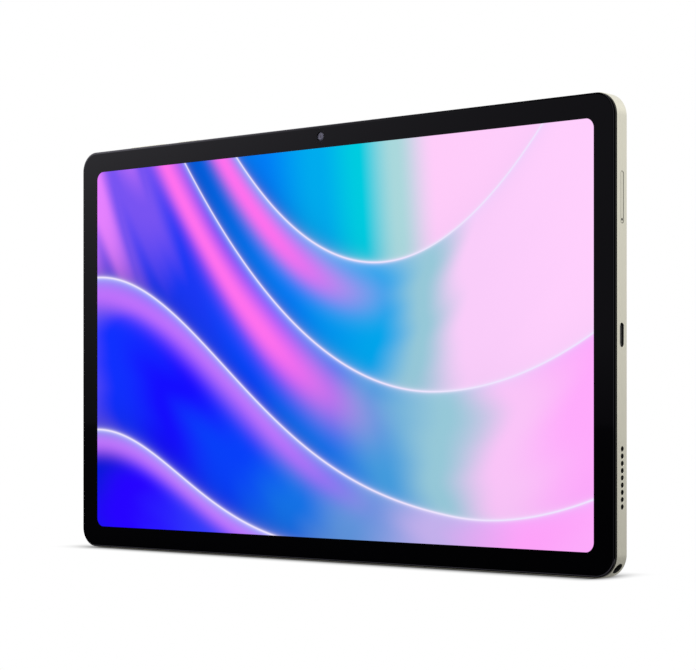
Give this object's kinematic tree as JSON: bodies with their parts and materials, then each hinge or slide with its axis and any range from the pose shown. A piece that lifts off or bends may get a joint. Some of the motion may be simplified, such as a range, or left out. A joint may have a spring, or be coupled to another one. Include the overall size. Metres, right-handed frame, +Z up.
{
  "type": "tablet computer",
  "caption": "Slim tablet computer with a flat metal body, full-face glass, side keys, a card drawer, a charging socket, a headphone socket and side speaker grilles.",
  "frame": {"origin": "middle of the long lower edge, at half the body's thickness", "axes": "+X right as seen from the screen side, +Y to the rear, +Z up; the screen faces -Y"},
  "size_m": [0.279, 0.008, 0.1755],
  "materials": {
    "anodised_aluminium": "bead-blasted, champagne anodised, satin",
    "cover_glass": "polished, black ink border behind a clear window",
    "black_plastic": "moulded, fine texture",
    "display_panel": "lit colour display, abstract flowing pattern",
    "backlight_film": "white diffuser film",
    "stamped_steel": "stamped, satin nickel",
    "battery_pouch": "laminated foil pouch, matt",
    "circuit_board": "solder mask",
    "chip_resin": "moulded resin",
    "graphite": "rolled graphite",
    "flex_film": "amber polyimide",
    "antenna_plastic": "painted to match the metal, matt",
    "camera_glass": "coated lens glass",
    "flash_lens": "frosted lens",
    "card_resin": "moulded resin",
    "speaker_cone": "elastomer diaphragm"
  },
  "bodies": {
    "chassis": {"housing": "anodised_aluminium", "cover_glass": "cover_glass", "display_bezel_frame": "black_plastic", "headphone_jack": "black_plastic", "usb_c_tongue": "black_plastic", "speaker_right": "black_plastic", "speaker_left": "black_plastic", "front_camera": "black_plastic", "rear_camera": "black_plastic", "lcd_panel": "display_panel", "backlight_unit": "backlight_film", "mid_plate": "stamped_steel", "usb_c_shell": "stamped_steel", "processor_shield": "stamped_steel", "wifi_module": "stamped_steel", "card_reader_shell": "stamped_steel", "eject_pivot": "stamped_steel", "speaker_mesh_right": "stamped_steel", "speaker_mesh_left": "stamped_steel", "rear_camera_ring": "stamped_steel", "power_switch": "stamped_steel", "volume_up_switch": "stamped_steel", "volume_down_switch": "stamped_steel", "microphone_top": "stamped_steel", "microphone_left": "stamped_steel", "screw_upper_left": "stamped_steel", "screw_upper_right": "stamped_steel", "screw_lower_left": "stamped_steel", "screw_lower_right": "stamped_steel", "battery_cell_left": "battery_pouch", "battery_cell_right": "battery_pouch", "main_board": "circuit_board", "battery_protection_board": "circuit_board", "processor": "chip_resin", "memory_chip": "chip_resin", "storage_chip": "chip_resin", "power_chip": "chip_resin", "light_sensor": "chip_resin", "graphite_sheet": "graphite", "battery_cable": "flex_film", "display_flex": "flex_film", "audio_flex": "flex_film", "side_key_flex": "flex_film", "wifi_antenna": "flex_film", "antenna_window": "antenna_plastic", "front_camera_lens": "camera_glass", "rear_camera_window": "camera_glass", "flash_window": "flash_lens", "flash_led": "flash_lens"},
    "power_key": {"power_key": "anodised_aluminium"},
    "power_plunger": {"power_switch_plunger": "black_plastic"},
    "volume_rocker": {"volume_rocker": "anodised_aluminium"},
    "card_drawer": {"card_tray": "anodised_aluminium", "memory_card": "card_resin"},
    "eject_rod": {"eject_rod": "stamped_steel"},
    "eject_lever": {"eject_lever": "stamped_steel"},
    "camera_lens": {"rear_camera_lens": "camera_glass"},
    "speaker_cone_right": {"speaker_diaphragm_right": "speaker_cone"},
    "speaker_cone_left": {"speaker_diaphragm_left": "speaker_cone"}
  },
  "joints": [
    {"name": "power_key_press", "type": "slide", "parent": "chassis", "child": "power_key", "axis": [0, 0, -1], "range_m": [0, 0.0003]},
    {"name": "power_plunger_travel", "type": "slide", "parent": "chassis", "child": "power_plunger", "axis": [0, 0, -1], "range_m": [0, 0.0003]},
    {"name": "volume_rocker_tilt", "type": "hinge", "parent": "chassis", "child": "volume_rocker", "pos_m": [-0.1017, 0.0005, 0.17185], "axis": [0, 1, 0], "range_deg": [-1.2, 1.2]},
    {"name": "card_drawer_slide", "type": "slide", "parent": "chassis", "child": "card_drawer", "axis": [1, 0, 0], "range_m": [0, 0.026]},
    {"name": "eject_rod_push", "type": "slide", "parent": "chassis", "child": "eject_rod", "axis": [-1, 0, 0], "range_m": [0, 0.0015]},
    {"name": "eject_lever_turn", "type": "hinge", "parent": "chassis", "child": "eject_lever", "pos_m": [0.1102, 0.0005, 0.134], "axis": [0, 1, 0], "range_deg": [0, 19.5]},
    {"name": "camera_focus", "type": "slide", "parent": "chassis", "child": "camera_lens", "axis": [0, 1, 0], "range_m": [0, 0.00025]},
    {"name": "speaker_right_stroke", "type": "slide", "parent": "chassis", "child": "speaker_cone_right", "axis": [0, 1, 0], "range_m": [-0.0003, 0.0003]},
    {"name": "speaker_left_stroke", "type": "slide", "parent": "chassis", "child": "speaker_cone_left", "axis": [0, 1, 0], "range_m": [-0.0003, 0.0003]}
  ],
  "couplings": [
    {"joint": "power_plunger_travel", "follows": "power_key_press", "ratio": 1},
    {"joint": "eject_lever_turn", "follows": "eject_rod_push", "rad_per_m": 226.89}
  ]
}
